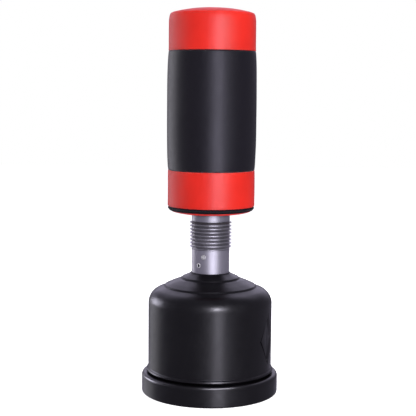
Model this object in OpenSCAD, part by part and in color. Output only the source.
// Free-standing punching bag: a padded bag on a sprung neck, over a hollow
// base tank that stands in a wide foot tray.
// Millimetres, +Z up. The origin is the centre of the footprint on the floor.
// The front of the bag faces -Y.

/* [Overall] */
// Height from the floor to the top of the dome
total_h = 1672; // [1560:1:1780]

/* [Foot tray] */
// Outer radius of the foot tray, the widest part
foot_r = 300; // [292:1:330]
// Height of the foot tray
tray_h = 89; // [82:1:90]
// Radius of the tray's outer bottom edge
tray_bottom_fillet = 12; // [6:1:12]
// Radius of the tray's outer top edge
tray_top_fillet = 18; // [8:1:18]
// Height of the tray floor's underside above the ground
floor_z = 8; // [8:0.5:9]
// Thickness of the tray floor
floor_t = 5; // [4:0.5:5]
// Number of suction cups under the tray
cup_count = 12; // [6:1:12]
// Radius of the circle of suction cups
cup_circle_r = 192; // [185:1:193]

/* [Base tank] */
// Radius of the drum wall just under the shoulder
tank_r = 271.8; // [268:0.1:272]
// Radius of the flared lip above the foot tray
lip_r = 279; // [274:1:281]
// Wall thickness of the blow-moulded tank
tank_wall = 4; // [3:0.5:4]
// Radius of the big bend between the drum wall and the shoulder
shoulder_fillet = 68; // [64:1:72]
// Radius of the outer step in the shoulder
step_outer_r = 200; // [196:1:204]
// Radius of the inner step in the shoulder
step_inner_r = 125.5; // [122:0.5:130]
// Depth of each diamond recess in the drum wall
diamond_depth = 4; // [2:0.5:5]
// Half of a diamond recess's width, in degrees around the drum
diamond_half_deg = 15; // [10:1:18]
// Distance of the filler neck from the centre, at the rear
filler_y = 165; // [163:1:167]

/* [Neck] */
// Outer radius of the neck sleeve and the upper tube
tube_r = 83; // [83:0.1:83.4]
// Outer radius of the post inside them
post_r = 79; // [78.4:0.1:79]
// Wall thickness of the post
post_t = 3; // [2:0.5:3]
// Radius of the bellows at the crest of a rib
rib_r = 91.5; // [88:0.5:93]
// Thickness of a rib
rib_t = 7; // [5:0.5:7]
// Distance between two ribs
rib_pitch = 15.1; // [15:0.1:15.1]
// Mean radius of the neck spring's coil
spring_r = 50; // [49:0.5:50.5]
// Diameter of the neck spring's wire
wire_d = 12; // [9:0.5:12]
// Number of turns of the neck spring
spring_turns = 6; // [4:1:7]
// Radius of the lock button
button_r = 7; // [5:0.5:7]

/* [Bag] */
// Largest radius of the black middle panel
bag_r = 193; // [191:0.5:195]
// Radius of the red upper panel
cap_r = 186.7; // [185:0.5:188]
// Radius of the red lower panel
skirt_r = 188.3; // [187:0.5:189]
// Height of the seam between the lower and middle panels
low_seam_z = 982; // [940:1:1020]
// Height of the seam between the middle and upper panels
top_seam_z = 1494.5; // [1460:0.5:1510]
// Height of the top edge of the closure band
band_top_z = 825.5; // [825:0.5:827]
// Thickness of the synthetic leather with its backing
cover_t = 3; // [2:0.5:3]
// Thickness of the textile wrap under the leather
liner_t = 2; // [1:0.5:2]
// Radius of the joint between the inner and outer foam
foam_split_r = 135; // [110:1:150]

/* [Hidden] */
$fn = 120;
gap = 0.1;                               // between two fitted pieces
loose_fit = 0.2;                         // added to a bolt's radius for a loose hole
close_fit = 0.05;                        // added to a bolt's radius for a close hole

// Colours used by more than one piece
black_plastic = "#1b1a1e";
dark_rubber = "#2a292c";
plate_grey = "#8d8c92";
bolt_grey = "#9b9aa0";
clamp_grey = "#8f8e93";
tube_grey = "#c6c4cb";
bellows_grey = "#77757e";
foam_cream = "#d9d6cc";
cover_red = "#e2372c";
zip_metal = "#a9a8ad";

// Tray and post flange
tray_in_r = 268;                         // inside of the tray's ring
tray_foot_in_r = 262;                    // inside of the ring below the floor
tray_wall = 6;
tray_foot_w = 18;                        // width of the outer wall on the ground
floor_top = floor_z + floor_t;
cup_stud_r = 4;
flange_z = floor_top + gap;              // post flange stands on the tray floor
flange_t = 6;
flange_top = flange_z + flange_t;
flange_bolt_r = 5;

// Tank
collar_z = 531.3;                        // top of the tank's collar
well_r = post_r + 0.6;                   // well for the post
tank_floor_z = 34;                       // underside of the raised middle
tank_floor_r = 216;
filler_r = 24;
filler_bore_r = 17;
filler_top = 516;

// Post, sleeve and upper tube
post_z = flange_top + gap;
post_top = 617;
post_in_r = post_r - post_t;
sleeve_z = collar_z + 0.2;
sleeve_top = 636;
tube_in_r = post_r + 0.2;
upper_z = 757.6;                         // lower edge of the upper tube
tube_top = total_h - 72;
button_z = 606;
button_deg = -111.8;
button_clearance = 0.08;
hole2_z = 568;                           // second hole in the sleeve
hole2_deg = -128.4;

// Spring with its seats and plates
plate_t = 6;
seat_t = 5;
lower_plate_z = post_top + gap;
lower_plate_top = lower_plate_z + plate_t;
lower_seat_z = lower_plate_top + gap;
lower_seat_top = lower_seat_z + seat_t;
spring_z0 = lower_seat_top + gap;
spring_z1 = spring_z0 + 134;
upper_seat_z = spring_z1 + gap;          // underside of the upper seat's disc
upper_plate_z = upper_seat_z + seat_t + gap;
neck_mid_z = 700;                        // a height between the two seats
seat_bore_r = 12;
seat_bolt_r = 4;
seat_nut_r = 7.2;                        // hexagon's corner radius

// Bag
rim_z = total_h - 21;                    // edge between side and top of the bag
support_z = 811.1;                       // underside of the support plate
collar_flange_t = 5;
support_screw_r = 3;
foam_z = 820.2;
foam_side_z = foam_z + 6;                // top of the outer foam's bottom bevel
foam_top = total_h - 62;

// ---------- helpers ----------
// Every profile for rotate_extrude is a list of [radius, z].

// Arc about a centre between two angles, as steps + 1 points.
function arc(centre, radius, from, to, steps = 6) =
    [for (i = [0:steps]) let (angle = from + (to - from) * i / steps)
        [centre[0] + radius * cos(angle), centre[1] + radius * sin(angle)]];

function backwards(points) = [for (i = [len(points) - 1:-1:0]) points[i]];

module ring(r_in, r_out, z0, z1) {
    translate([0, 0, z0]) difference() {
        cylinder(r = r_out, h = z1 - z0);
        translate([0, 0, -1]) cylinder(r = r_in, h = z1 - z0 + 2);
    }
}

module around(count, radius, turn = 0) {
    for (i = [0:count - 1]) rotate([0, 0, turn + i * 360 / count])
        translate([radius, 0, 0]) children();
}
module at_cups() around(cup_count, cup_circle_r, 15) children();
module at_flange_bolts() around(6, 105) children();
module at_seat_bolts() around(4, 25, 45) children();
module at_support_screws() around(6, 105, 30) children();

// Upright cylinder standing on height z.
module rod(radius, height, z = 0) translate([0, 0, z]) cylinder(r = radius, h = height);

module hexagon(corner_r, z0, z1) {
    translate([0, 0, z0]) cylinder(r = corner_r, h = z1 - z0, $fn = 6);
}

// ---------- foot tray and post flange ----------

// Ring with an open channel underneath and a flat floor inside it.
module foot_tray() color(black_plastic) difference() {
    rotate_extrude() polygon(concat(
        [[0, floor_z], [tray_foot_in_r, floor_z], [tray_foot_in_r, 0],
         [tray_in_r + tray_wall, 0], [tray_in_r + tray_wall, tray_h - tray_wall],
         [foot_r - tray_wall - 8, tray_h - tray_wall],
         [foot_r - tray_wall, tray_h - tray_wall - 8],
         [foot_r - tray_wall, 22], [foot_r - tray_foot_w, 10], [foot_r - tray_foot_w, 0]],
        arc([foot_r - tray_bottom_fillet, tray_bottom_fillet],
            tray_bottom_fillet, -90, 0),
        arc([foot_r - tray_top_fillet, tray_h - tray_top_fillet],
            tray_top_fillet, 0, 90),
        [[tray_in_r + 2, tray_h], [tray_in_r, tray_h - 2],
         [tray_in_r, floor_top], [0, floor_top]]));
    at_cups() rod(cup_stud_r + loose_fit, 30, z = -1);
    at_flange_bolts() rod(flange_bolt_r + loose_fit, 30, z = -1);
}

// Flat-pressed cups with a stud through the tray floor.
module suction_cups() color(dark_rubber) at_cups()
    rotate_extrude() polygon([[0, 2.5], [18, 1.6], [27, 0], [30, 0], [30, 1.4],
        [14, 5.2], [9, floor_z - gap], [cup_stud_r, floor_z - gap],
        [cup_stud_r, 26], [0, 26]]);

module suction_cup_nuts() color(bolt_grey) at_cups() difference() {
    hexagon(7.5, floor_top + gap, floor_top + 6.6);
    rod(cup_stud_r + close_fit, 60);
}

module post_flange() color(plate_grey) difference() {
    ring(40, 125, flange_z, flange_top);
    at_flange_bolts() rod(flange_bolt_r + loose_fit, 60);
}

// Low round heads under the floor, shanks up through floor and flange.
module flange_bolts() color(bolt_grey) at_flange_bolts() {
    rod(10, 4.5, z = floor_z - gap - 4.5);
    rod(flange_bolt_r, 24, z = floor_z - gap - 1);
}

module flange_nuts() color(bolt_grey) at_flange_bolts() difference() {
    hexagon(9.2, flange_top + gap, flange_top + 8.1);
    rod(flange_bolt_r + close_fit, 60);
}

// ---------- base tank ----------

// The shoulder is three sloping tiers with a step up between them. The big
// bend leads from the drum wall into the outer tier.
shoulder_deg = 25.4;                     // slope at the end of the bend
shoulder_centre = [tank_r - shoulder_fillet, 396.4];
shoulder_end = [shoulder_centre[0] + shoulder_fillet * sin(shoulder_deg),
                shoulder_centre[1] + shoulder_fillet * cos(shoulder_deg)];
outer_tier_top = shoulder_end[1] + (shoulder_end[0] - step_outer_r) * tan(19.6);
inner_tier_z = 511;                      // inner tier's lower edge
// Height of the middle tier at a radius.
function middle_tier(radius) = 475.8 + (step_outer_r - radius) * tan(21.6);

// Outside of the tank, from the rim it stands on, out and up to the collar.
// The inset gives the inside of the wall; its factors allow for the slopes.
function tank_side(inset) = concat(
    [[226 + inset * 0.7, flange_z + inset]],
    arc([250, flange_z + 12], 12 - inset, -90, 0),
    [[262 - inset, 86], [264 - inset, 91.5],
     [lip_r - 3 - inset * 1.3, 95 + inset * 0.6],
     [lip_r - inset * 1.6, 97.5 + inset * 0.6], [lip_r - inset * 1.6, 101],
     [tank_r - 1 - inset, 109.5]],
    arc(shoulder_centre, shoulder_fillet - inset, 0, 90 - shoulder_deg, 8),
    [[step_outer_r + 1 + inset * 0.2, outer_tier_top - inset * 1.05],
     [step_outer_r - inset * 0.6, outer_tier_top - inset * 1.05 + 1],
     [step_outer_r - 0.5 - inset * 0.6, middle_tier(step_outer_r) - 1 - inset],
     [step_outer_r - 2 - inset * 0.6, middle_tier(step_outer_r) - inset],
     [170, middle_tier(170) + 1 - inset * 1.08],
     [140, middle_tier(140) + 1.2 - inset * 1.08],
     [step_inner_r + 1 + inset * 0.2, middle_tier(step_inner_r) - inset * 1.05],
     [step_inner_r - inset * 0.6, middle_tier(step_inner_r) - inset * 1.05 + 1],
     [step_inner_r - 0.5 - inset * 0.6, inner_tier_z - 1 - inset],
     [step_inner_r - 2 - inset * 0.6, inner_tier_z - inset * 1.05],
     [101, 521 - inset * 1.05], [90 - inset * 0.1, 527 - inset * 1.1]]);

diamond_ref_r = 270;                     // radius that sets recess width and depth
diamond_low_z = 140;
diamond_mid_z = 254;
diamond_high_z = 372;

// Diamond-shaped prism that runs outwards from the axis.
module diamond(deg, grow) {
    half_w = diamond_ref_r * sin(diamond_half_deg) + grow;
    rotate([0, 0, deg]) rotate([90, 0, 90]) linear_extrude(height = 300)
        polygon([[0, diamond_low_z - grow * 1.6], [half_w, diamond_mid_z],
                 [0, diamond_high_z + grow * 1.6], [-half_w, diamond_mid_z]]);
}

// The two opposite recesses; wall and grow enlarge them for the tank's inside.
module diamond_recesses(grow = 0, wall = 0) {
    for (deg = [-22.5, 157.5]) intersection() {
        diamond(deg, grow);
        ring(diamond_ref_r - diamond_depth - wall, 320, 90, 400);
    }
}

// Blow-moulded hollow tank with a well for the post, a filler neck at the rear
// and two opposite diamond recesses in its drum wall.
module base_tank() color("#1d1c21") difference() {
    union() {
        rotate_extrude() polygon(concat(tank_side(0),
            [[86, collar_z], [well_r, collar_z], [well_r, tank_floor_z],
             [tank_floor_r, tank_floor_z]]));
        translate([0, filler_y, 470]) cylinder(r = filler_r, h = filler_top - 470);
    }
    difference() {
        rotate_extrude() polygon(concat(tank_side(tank_wall),
            [[86.5, collar_z - tank_wall * 1.2],
             [well_r + tank_wall, collar_z - tank_wall * 1.2],
             [well_r + tank_wall, tank_floor_z + tank_wall],
             [tank_floor_r + tank_wall * 0.7, tank_floor_z + tank_wall]]));
        diamond_recesses(grow = 6, wall = tank_wall);
    }
    diamond_recesses();
    translate([0, filler_y, 460]) cylinder(r = filler_bore_r, h = 80);
}

module fill_gasket() color("#3c3b3e") translate([0, filler_y, 0])
    ring(filler_bore_r + 0.2, filler_r - 0.4, filler_top + 0.05, filler_top + 2.05);

// Screw cap over the filler neck, with a fluted grip.
module fill_cap() color(black_plastic) translate([0, filler_y, 0]) difference() {
    rod(28.5, 19, z = filler_top - 11);
    rod(filler_r + gap, 14.1, z = filler_top - 12);
    around(12, 31) translate([0, 0, filler_top - 12]) cylinder(r = 4, h = 22, $fn = 24);
}

// ---------- post, sleeve and lock button ----------

// Cutter for a lock button hole through a tube wall.
module button_hole(deg, z) {
    rotate([0, 0, deg]) translate([60, 0, z]) rotate([0, 90, 0])
        cylinder(r = button_r + button_clearance, h = 40);
}

module base_post() color("#b9b7be") difference() {
    ring(post_in_r, post_r, post_z, post_top);
    button_hole(button_deg, button_z);
}

// Sleeve or upper tube, with rounded outer edges.
tube_fillet = 1.6;
module tube(z0, z1) {
    arc_r = tube_r - tube_fillet;
    rotate_extrude() polygon(concat([[tube_in_r, z0]],
        arc([arc_r, z0 + tube_fillet], tube_fillet, -90, 0, 4),
        arc([arc_r, z1 - tube_fillet], tube_fillet, 0, 90, 4), [[tube_in_r, z1]]));
}

module neck_sleeve() color(tube_grey) difference() {
    tube(sleeve_z, sleeve_top);
    button_hole(button_deg, button_z);
    button_hole(hole2_deg, hole2_z);
}

// Domed snap button that stands out through the post and the sleeve.
button_edge = 84.5;                      // where the button's dome begins
button_dome = 4;
module lock_button() color("#dedde1")
    rotate([0, 0, button_deg]) translate([0, 0, button_z]) rotate([0, 90, 0])
        rotate_extrude() polygon(concat(
            [[0, 73.2], [9, 73.2], [9, post_in_r - 0.7],
             [button_r, post_in_r - 0.7], [button_r, button_edge]],
            arc([button_r - button_dome, button_edge], button_dome, 0, 90, 5),
            [[0, button_edge + button_dome]]));

// Leaf spring behind the button; its low end lies close to the post's inside.
// Profile in [radius, z].
lock_spring_w = 12;
module lock_spring() color(clamp_grey)
    rotate([0, 0, button_deg]) translate([0, lock_spring_w / 2, 0]) rotate([90, 0, 0])
        linear_extrude(height = lock_spring_w) polygon([[74.4, 556], [75.4, 556],
            [75.4, 578], [72.9, 592], [72.9, 614], [71.9, 614], [71.9, 592],
            [74.4, 578]]);

// ---------- neck spring, seats and plates ----------

// Disc with a raised hub that the end coil of the spring sits around.
// The hub rises from the face: up for side = 1, down for side = -1.
hub_r = spring_r - wire_d / 2 - 1.2;
hub_in_r = 38;
hub_h = 11.5;
hub_bevel = 1.5;
module spring_seat(face_z, side) {
    back_z = face_z - side * seat_t;
    hub_z = face_z + side * hub_h;
    rotate_extrude() polygon([[seat_bore_r, back_z], [62, back_z], [62, face_z],
        [hub_r, face_z], [hub_r, hub_z - side * hub_bevel], [hub_r - hub_bevel, hub_z],
        [hub_in_r, hub_z], [hub_in_r, face_z], [seat_bore_r, face_z]]);
}

module lower_spring_plate() color(plate_grey) difference() {
    ring(seat_bore_r, post_r, lower_plate_z, lower_plate_top);
    at_seat_bolts() rod(seat_bolt_r + close_fit, neck_mid_z);
}

module lower_spring_seat() color(plate_grey) difference() {
    spring_seat(lower_seat_top, side = 1);
    at_seat_bolts() rod(seat_bolt_r + loose_fit, neck_mid_z);
}

module lower_seat_bolts() color(bolt_grey) at_seat_bolts() {
    hexagon(seat_nut_r, lower_seat_top + gap, lower_seat_top + 5.6);
    rod(seat_bolt_r, lower_seat_top + 1 - lower_plate_z + 3, z = lower_plate_z - 3);
}

module upper_spring_seat() color(plate_grey) difference() {
    spring_seat(upper_seat_z, side = -1);
    at_seat_bolts() rod(seat_bolt_r + loose_fit, 100, z = neck_mid_z);
}

module upper_spring_plate() color(plate_grey) difference() {
    ring(seat_bore_r, spigot_r, upper_plate_z, upper_plate_z + plate_t);
    at_seat_bolts() rod(seat_bolt_r + close_fit, 100, z = neck_mid_z);
}

module upper_seat_bolts() color(bolt_grey) at_seat_bolts() {
    hexagon(seat_nut_r, upper_seat_z - 5.6, upper_seat_z - gap);
    rod(seat_bolt_r, seat_t + plate_t + 4, z = upper_seat_z - 1);
}

// Round wire along a helix; the end turns lie close, as on a closed coil.
spring_steps = 20;                       // wire sections in a turn
wire_sides = 8;
section_count = spring_turns * spring_steps;
// Height of the wire's centre at a part of its length, from 0 to 1.
function coil_z(part) = let (
    low = spring_z0 + wire_d / 2,
    high = spring_z1 - wire_d / 2,
    end_part = 1 / spring_turns,
    end_rise = wire_d * 1.08)
    part < end_part ? low + end_rise * part / end_part
    : part > 1 - end_part ? high - end_rise * (1 - part) / end_part
    : low + end_rise
        + (high - low - 2 * end_rise) * (part - end_part) / (1 - 2 * end_part);
// Corner j of wire section i.
function coil_point(i, j) = let (
    turn = i * 360 / spring_steps,
    angle = j * 360 / wire_sides,
    radius = spring_r + wire_d / 2 * cos(angle))
    [radius * cos(turn), radius * sin(turn),
     coil_z(i / section_count) + wire_d / 2 * sin(angle)];
module neck_spring() color("#8b8a90") polyhedron(
    points = [for (i = [0:section_count]) for (j = [0:wire_sides - 1]) coil_point(i, j)],
    faces = concat(
        [[for (j = [0:wire_sides - 1]) j]],
        [for (i = [0:section_count - 1]) for (j = [0:wire_sides - 1])
            let (k = (j + 1) % wire_sides, here = i * wire_sides, next = here + wire_sides)
            each [[here + j, next + j, here + k], [here + k, next + j, next + k]]],
        [[for (j = [wire_sides - 1:-1:0]) section_count * wire_sides + j]]));

// ---------- bellows ----------

spigot_in_r = 70;
spigot_r = tube_in_r - gap;
strip_r = tube_r - 0.6;                  // plain strip between tube edge and rib
clamp_in_r = 66.5;

// Height of the middle of rib n; ribs 1 and 8 belong to the cuffs.
function rib_z(n) = 646.4 + (n - 1) * rib_pitch;
function rib_low(n) = rib_z(n) - rib_t / 2;
function rib_high(n) = rib_z(n) + rib_t / 2;
// Round nose of rib n.
function rib_nose(n) = arc([rib_r - rib_t / 2, rib_z(n)], rib_t / 2, -90, 90);

// Bottom of the bellows: spigot inside the sleeve, cuff strip and first rib.
module bellows_lower_cuff() color(bellows_grey) rotate_extrude() polygon(concat(
    [[spigot_in_r, lower_plate_top + 0.9], [spigot_r, lower_plate_top + 0.9],
     [spigot_r, sleeve_top + gap], [strip_r, sleeve_top + gap], [strip_r, rib_low(1)]],
    rib_nose(1),
    [[spigot_in_r, rib_high(1)]]));

module lower_cuff_clamp() color(clamp_grey)
    ring(clamp_in_r, spigot_in_r - gap, lower_plate_top + 2, sleeve_top - 1);

module bellows_rib(n) color(bellows_grey) rotate_extrude()
    polygon(concat([[76, rib_low(n)]], rib_nose(n), [[76, rib_high(n)]]));
module bellows_rib_2() bellows_rib(2);
module bellows_rib_3() bellows_rib(3);
module bellows_rib_4() bellows_rib(4);
module bellows_rib_5() bellows_rib(5);
module bellows_rib_6() bellows_rib(6);
module bellows_rib_7() bellows_rib(7);

// Top of the bellows: last rib, narrow strip and spigot inside the upper tube.
module bellows_upper_cuff() color(bellows_grey) rotate_extrude() polygon(concat(
    [[spigot_in_r, rib_low(8)]],
    rib_nose(8),
    [[strip_r, rib_high(8)], [strip_r, upper_z - gap], [spigot_r, upper_z - gap],
     [spigot_r, upper_plate_z - 1], [spigot_in_r, upper_plate_z - 1]]));

module upper_cuff_clamp() color(clamp_grey)
    ring(clamp_in_r, spigot_in_r - gap, upper_z + 0.5, upper_plate_z - 1.5);

// ---------- upper tube and bag support ----------

module upper_tube() color(tube_grey) tube(upper_z, tube_top);

module tube_end_cap() color(dark_rubber) rotate_extrude() polygon([
    [0, tube_top + gap], [tube_in_r - 3, tube_top + gap], [tube_in_r - 3, tube_top - 12],
    [spigot_r, tube_top - 12], [spigot_r, tube_top + gap],
    [tube_r, tube_top + gap], [tube_r, tube_top + 3], [tube_r - 2, tube_top + 5],
    [0, tube_top + 5]]);

module support_collar() color(plate_grey) difference() {
    union() {
        ring(tube_r + gap, 118, support_z - collar_flange_t - gap, support_z - gap);
        ring(tube_r + gap, 88, support_z - 13, support_z - gap);
    }
    at_support_screws() rod(support_screw_r + loose_fit, 200, z = neck_mid_z);
}

module support_plate() color("#b08a5a") difference() {
    ring(tube_r + 0.5, 174, support_z, foam_z - gap);
    at_support_screws() rod(support_screw_r + close_fit, 200, z = neck_mid_z);
}

module support_screws() color(bolt_grey) at_support_screws() {
    rod(6, 3, z = support_z - collar_flange_t - 2 * gap - 3);
    rod(support_screw_r, 13, z = support_z - 6.2);
}

// ---------- bag profile ----------

// Outside radius of the padded bag at height z: a flat barrel between the two
// seams, a straight skirt under it and a cap above it that leans in at the top.
function barrel(z) = let (
    middle = (low_seam_z + top_seam_z) / 2,
    half = (top_seam_z - low_seam_z) / 2)
    bag_r - 5.2 * pow(abs((z - middle) / half), 4);
lean_z = rim_z - 36;                     // where the cap starts to lean in
function lean(z) = z < lean_z ? 0 : 4.7 * pow((z - lean_z) / 33, 2);
function bag_out(z) = z < low_seam_z ? skirt_r
    : z < top_seam_z ? barrel(z)
    : cap_r - lean(z);

// Profile points up the side of the bag, set in from the outside.
function side(z0, z1, inset, steps) =
    [for (i = [0:steps]) let (z = z0 + (z1 - z0) * i / steps) [bag_out(z) - inset, z]];

// The layers inside the bag share one profile: straight under each red panel,
// the barrel's own points between the seams, and the upper panel's points
// where it leans in. Every layer turns at the same heights.
low_in_r = min(skirt_r, barrel(low_seam_z));
top_in_r = min(cap_r, barrel(top_seam_z));
middle_steps = 24;
upper_steps = 14;
function lean_point(i) = let (
    z0 = top_seam_z + gap,
    z = z0 + (rim_z - 6 - z0) * i / upper_steps)
    [min(top_in_r, cap_r - lean(z)), z];
function middle_point(i) = let (
    z = low_seam_z + gap + (top_seam_z - low_seam_z - 2 * gap) * i / middle_steps)
    [barrel(z), z];
pad_edge = lean_point(13.8);             // top edge of the wrap and the top pad
pad_top = pad_edge[1];
function layer(z0, z1, inset) = concat(
    z0 < low_seam_z
        ? [[low_in_r - inset, z0], [low_in_r - inset, low_seam_z - 1]]
        : [[top_in_r - inset, z0]],
    [for (i = [1:middle_steps - 1]) let (p = middle_point(i))
        if (p[1] > z0) [p[0] - inset, p[1]]],
    z0 < top_seam_z ? [[top_in_r - inset, top_seam_z + 1]] : [],
    [for (i = [1:upper_steps - 1]) let (p = lean_point(i))
        if (p[1] > z0 + 0.5 && p[1] < z1 - 0.5) [p[0] - inset, p[1]]],
    [[(z1 < lean_z ? top_in_r : pad_edge[0]) - inset, z1]]);

// The dome is part of a ball; its height at a radius, and points along it.
dome_edge_r = 176;
dome_rise = 17;
dome_ball = (dome_edge_r * dome_edge_r + dome_rise * dome_rise) / (2 * dome_rise);
function dome(radius) = total_h - dome_ball + sqrt(dome_ball * dome_ball - radius * radius);
function dome_points(edge_r, steps, inset) =
    [for (i = [0:steps]) let (radius = edge_r * i / steps) [radius, dome(radius) - inset]];

// ---------- padding ----------

foam_inset = cover_t + liner_t + 0.4;    // from the bag's outside in to the foam

module inner_foam() color(foam_cream)
    ring(tube_r + 0.3, foam_split_r, foam_z, foam_top);

module outer_foam() color("#4a494d") rotate_extrude() polygon(concat(
    [[foam_split_r + 0.2, foam_z], [low_in_r - foam_inset - 5, foam_z]],
    layer(foam_side_z, foam_top, foam_inset),
    [[foam_split_r + 0.2, foam_top]]));

module top_foam_pad() color(foam_cream) rotate_extrude() polygon(concat(
    [[0, foam_top + 0.2]],
    layer(foam_top + 0.2, pad_top, foam_inset),
    backwards(dome_points(168, 6, cover_t + 0.4))));

module textile_wrap() color("#6d6c70") rotate_extrude() polygon(concat(
    layer(foam_side_z, pad_top, foam_inset - 0.2),
    backwards(layer(foam_side_z, pad_top, cover_t + 0.2))));

// ---------- cover ----------

// Domed round panel on top of the bag.
module top_panel() color(cover_red) rotate_extrude() polygon(concat(
    dome_points(175, 8, cover_t),
    backwards(dome_points(175, 8, 0))));

// Red side panel under the dome; its top edge turns in to meet the top panel.
module upper_panel() color(cover_red) rotate_extrude() polygon(concat(
    side(top_seam_z + gap, rim_z - 4, 0, upper_steps),
    [[180, rim_z + 1], [175.2, rim_z + 3.4], [175.2, rim_z + 0.2],
     [178, rim_z - 2.4]],
    backwards(side(top_seam_z + gap, rim_z - 6, cover_t, upper_steps))));

// Side panel between two seams.
module side_panel(z0, z1, steps) rotate_extrude() polygon(concat(
    side(z0 + gap, z1 - gap, 0, steps),
    backwards(side(z0 + gap, z1 - gap, cover_t, steps))));

module middle_panel() color("#232227") side_panel(low_seam_z, top_seam_z, middle_steps);

module lower_panel() color(cover_red) side_panel(band_top_z, low_seam_z, 4);

// Red panel under the bag, with a hole for the tube.
module bottom_panel() color("#d8342a") rotate_extrude() polygon([
    [tube_r + 0.6, 790], [120, 792.2], [150, 795.6], [168, 800.2],
    [176.4, 804.4], [175.3, 806.6], [167, 802.8], [149.4, 798.4],
    [120, 795], [tube_r + 0.6, 792.8]]);

// ---------- zip ----------

// Black tape that carries the zip and bends in under the bag.
module zip_tape() color("#1c1b1f") rotate_extrude() polygon([
    [185.2, band_top_z - gap], [185.2, 813], [183.6, 809.2], [180.4, 806.4],
    [176.6, 804.8], [176, 806.4], [179.4, 807.9], [182, 810.2], [183.4, 813.5],
    [183.4, band_top_z - gap]]);

module zip_coil() color("#2b2a2e") rotate_extrude() polygon([
    [185.3, 814], [186.2, 813], [187.4, 813], [188.1, 814], [188.1, 819],
    [187.4, 820], [186.2, 820], [185.3, 819]]);

slider_deg = 5.2;                        // slider's width around the bag, at the rear
pin_y = 192.6;                           // the puller's cross pin
pin_z = 816.5;
puller_w = 9;
puller_t = 1.4;
arm_w = 2;

// Cylinder along X on the cross pin's axis, from x = x0.
module cross_pin(radius, x0, length)
    translate([x0, pin_y, pin_z]) rotate([0, 90, 0])
        cylinder(r = radius, h = length, $fn = 32);

// Slider that straddles the coil, with a small bail for its puller.
module zip_slider() color(zip_metal) difference() {
    union() {
        rotate([0, 0, 90 - slider_deg / 2]) rotate_extrude(angle = slider_deg) polygon([
            [186.1, 810.4], [190.6, 810.4], [190.6, 822.6], [186.1, 822.6],
            [186.1, 820.5], [188.6, 820.5], [188.6, 812.5], [186.1, 812.5]]);
        translate([-2, 190.2, 814]) cube([4, 4.4, 5]);
    }
    cross_pin(1.1, -10, 20);
}

// Pull tab that hangs from a cross pin in the bail.
module zip_puller() color(zip_metal) {
    front_y = pin_y - puller_t / 2;
    cross_pin(1.02, -puller_w / 2, puller_w);
    for (x = [-puller_w / 2, puller_w / 2 - arm_w])
        translate([x, front_y, 806]) cube([arm_w, puller_t, 11]);
    difference() {
        translate([-puller_w / 2, front_y, 784]) cube([puller_w, puller_t, 24]);
        translate([0, 180, 789]) rotate([-90, 0, 0]) cylinder(r = 2.2, h = 30, $fn = 32);
    }
}

foot_tray();
suction_cups();
suction_cup_nuts();
post_flange();
flange_bolts();
flange_nuts();
base_tank();
base_post();
neck_sleeve();
lock_spring();
lock_button();
fill_gasket();
fill_cap();
lower_spring_plate();
lower_spring_seat();
lower_seat_bolts();
bellows_lower_cuff();
lower_cuff_clamp();
bellows_rib_2();
bellows_rib_3();
bellows_rib_4();
bellows_rib_5();
bellows_rib_6();
bellows_rib_7();
neck_spring();
bellows_upper_cuff();
upper_cuff_clamp();
upper_tube();
upper_spring_plate();
upper_spring_seat();
upper_seat_bolts();
support_collar();
support_plate();
support_screws();
tube_end_cap();
inner_foam();
outer_foam();
top_foam_pad();
textile_wrap();
top_panel();
upper_panel();
middle_panel();
lower_panel();
zip_tape();
zip_coil();
bottom_panel();
zip_slider();
zip_puller();
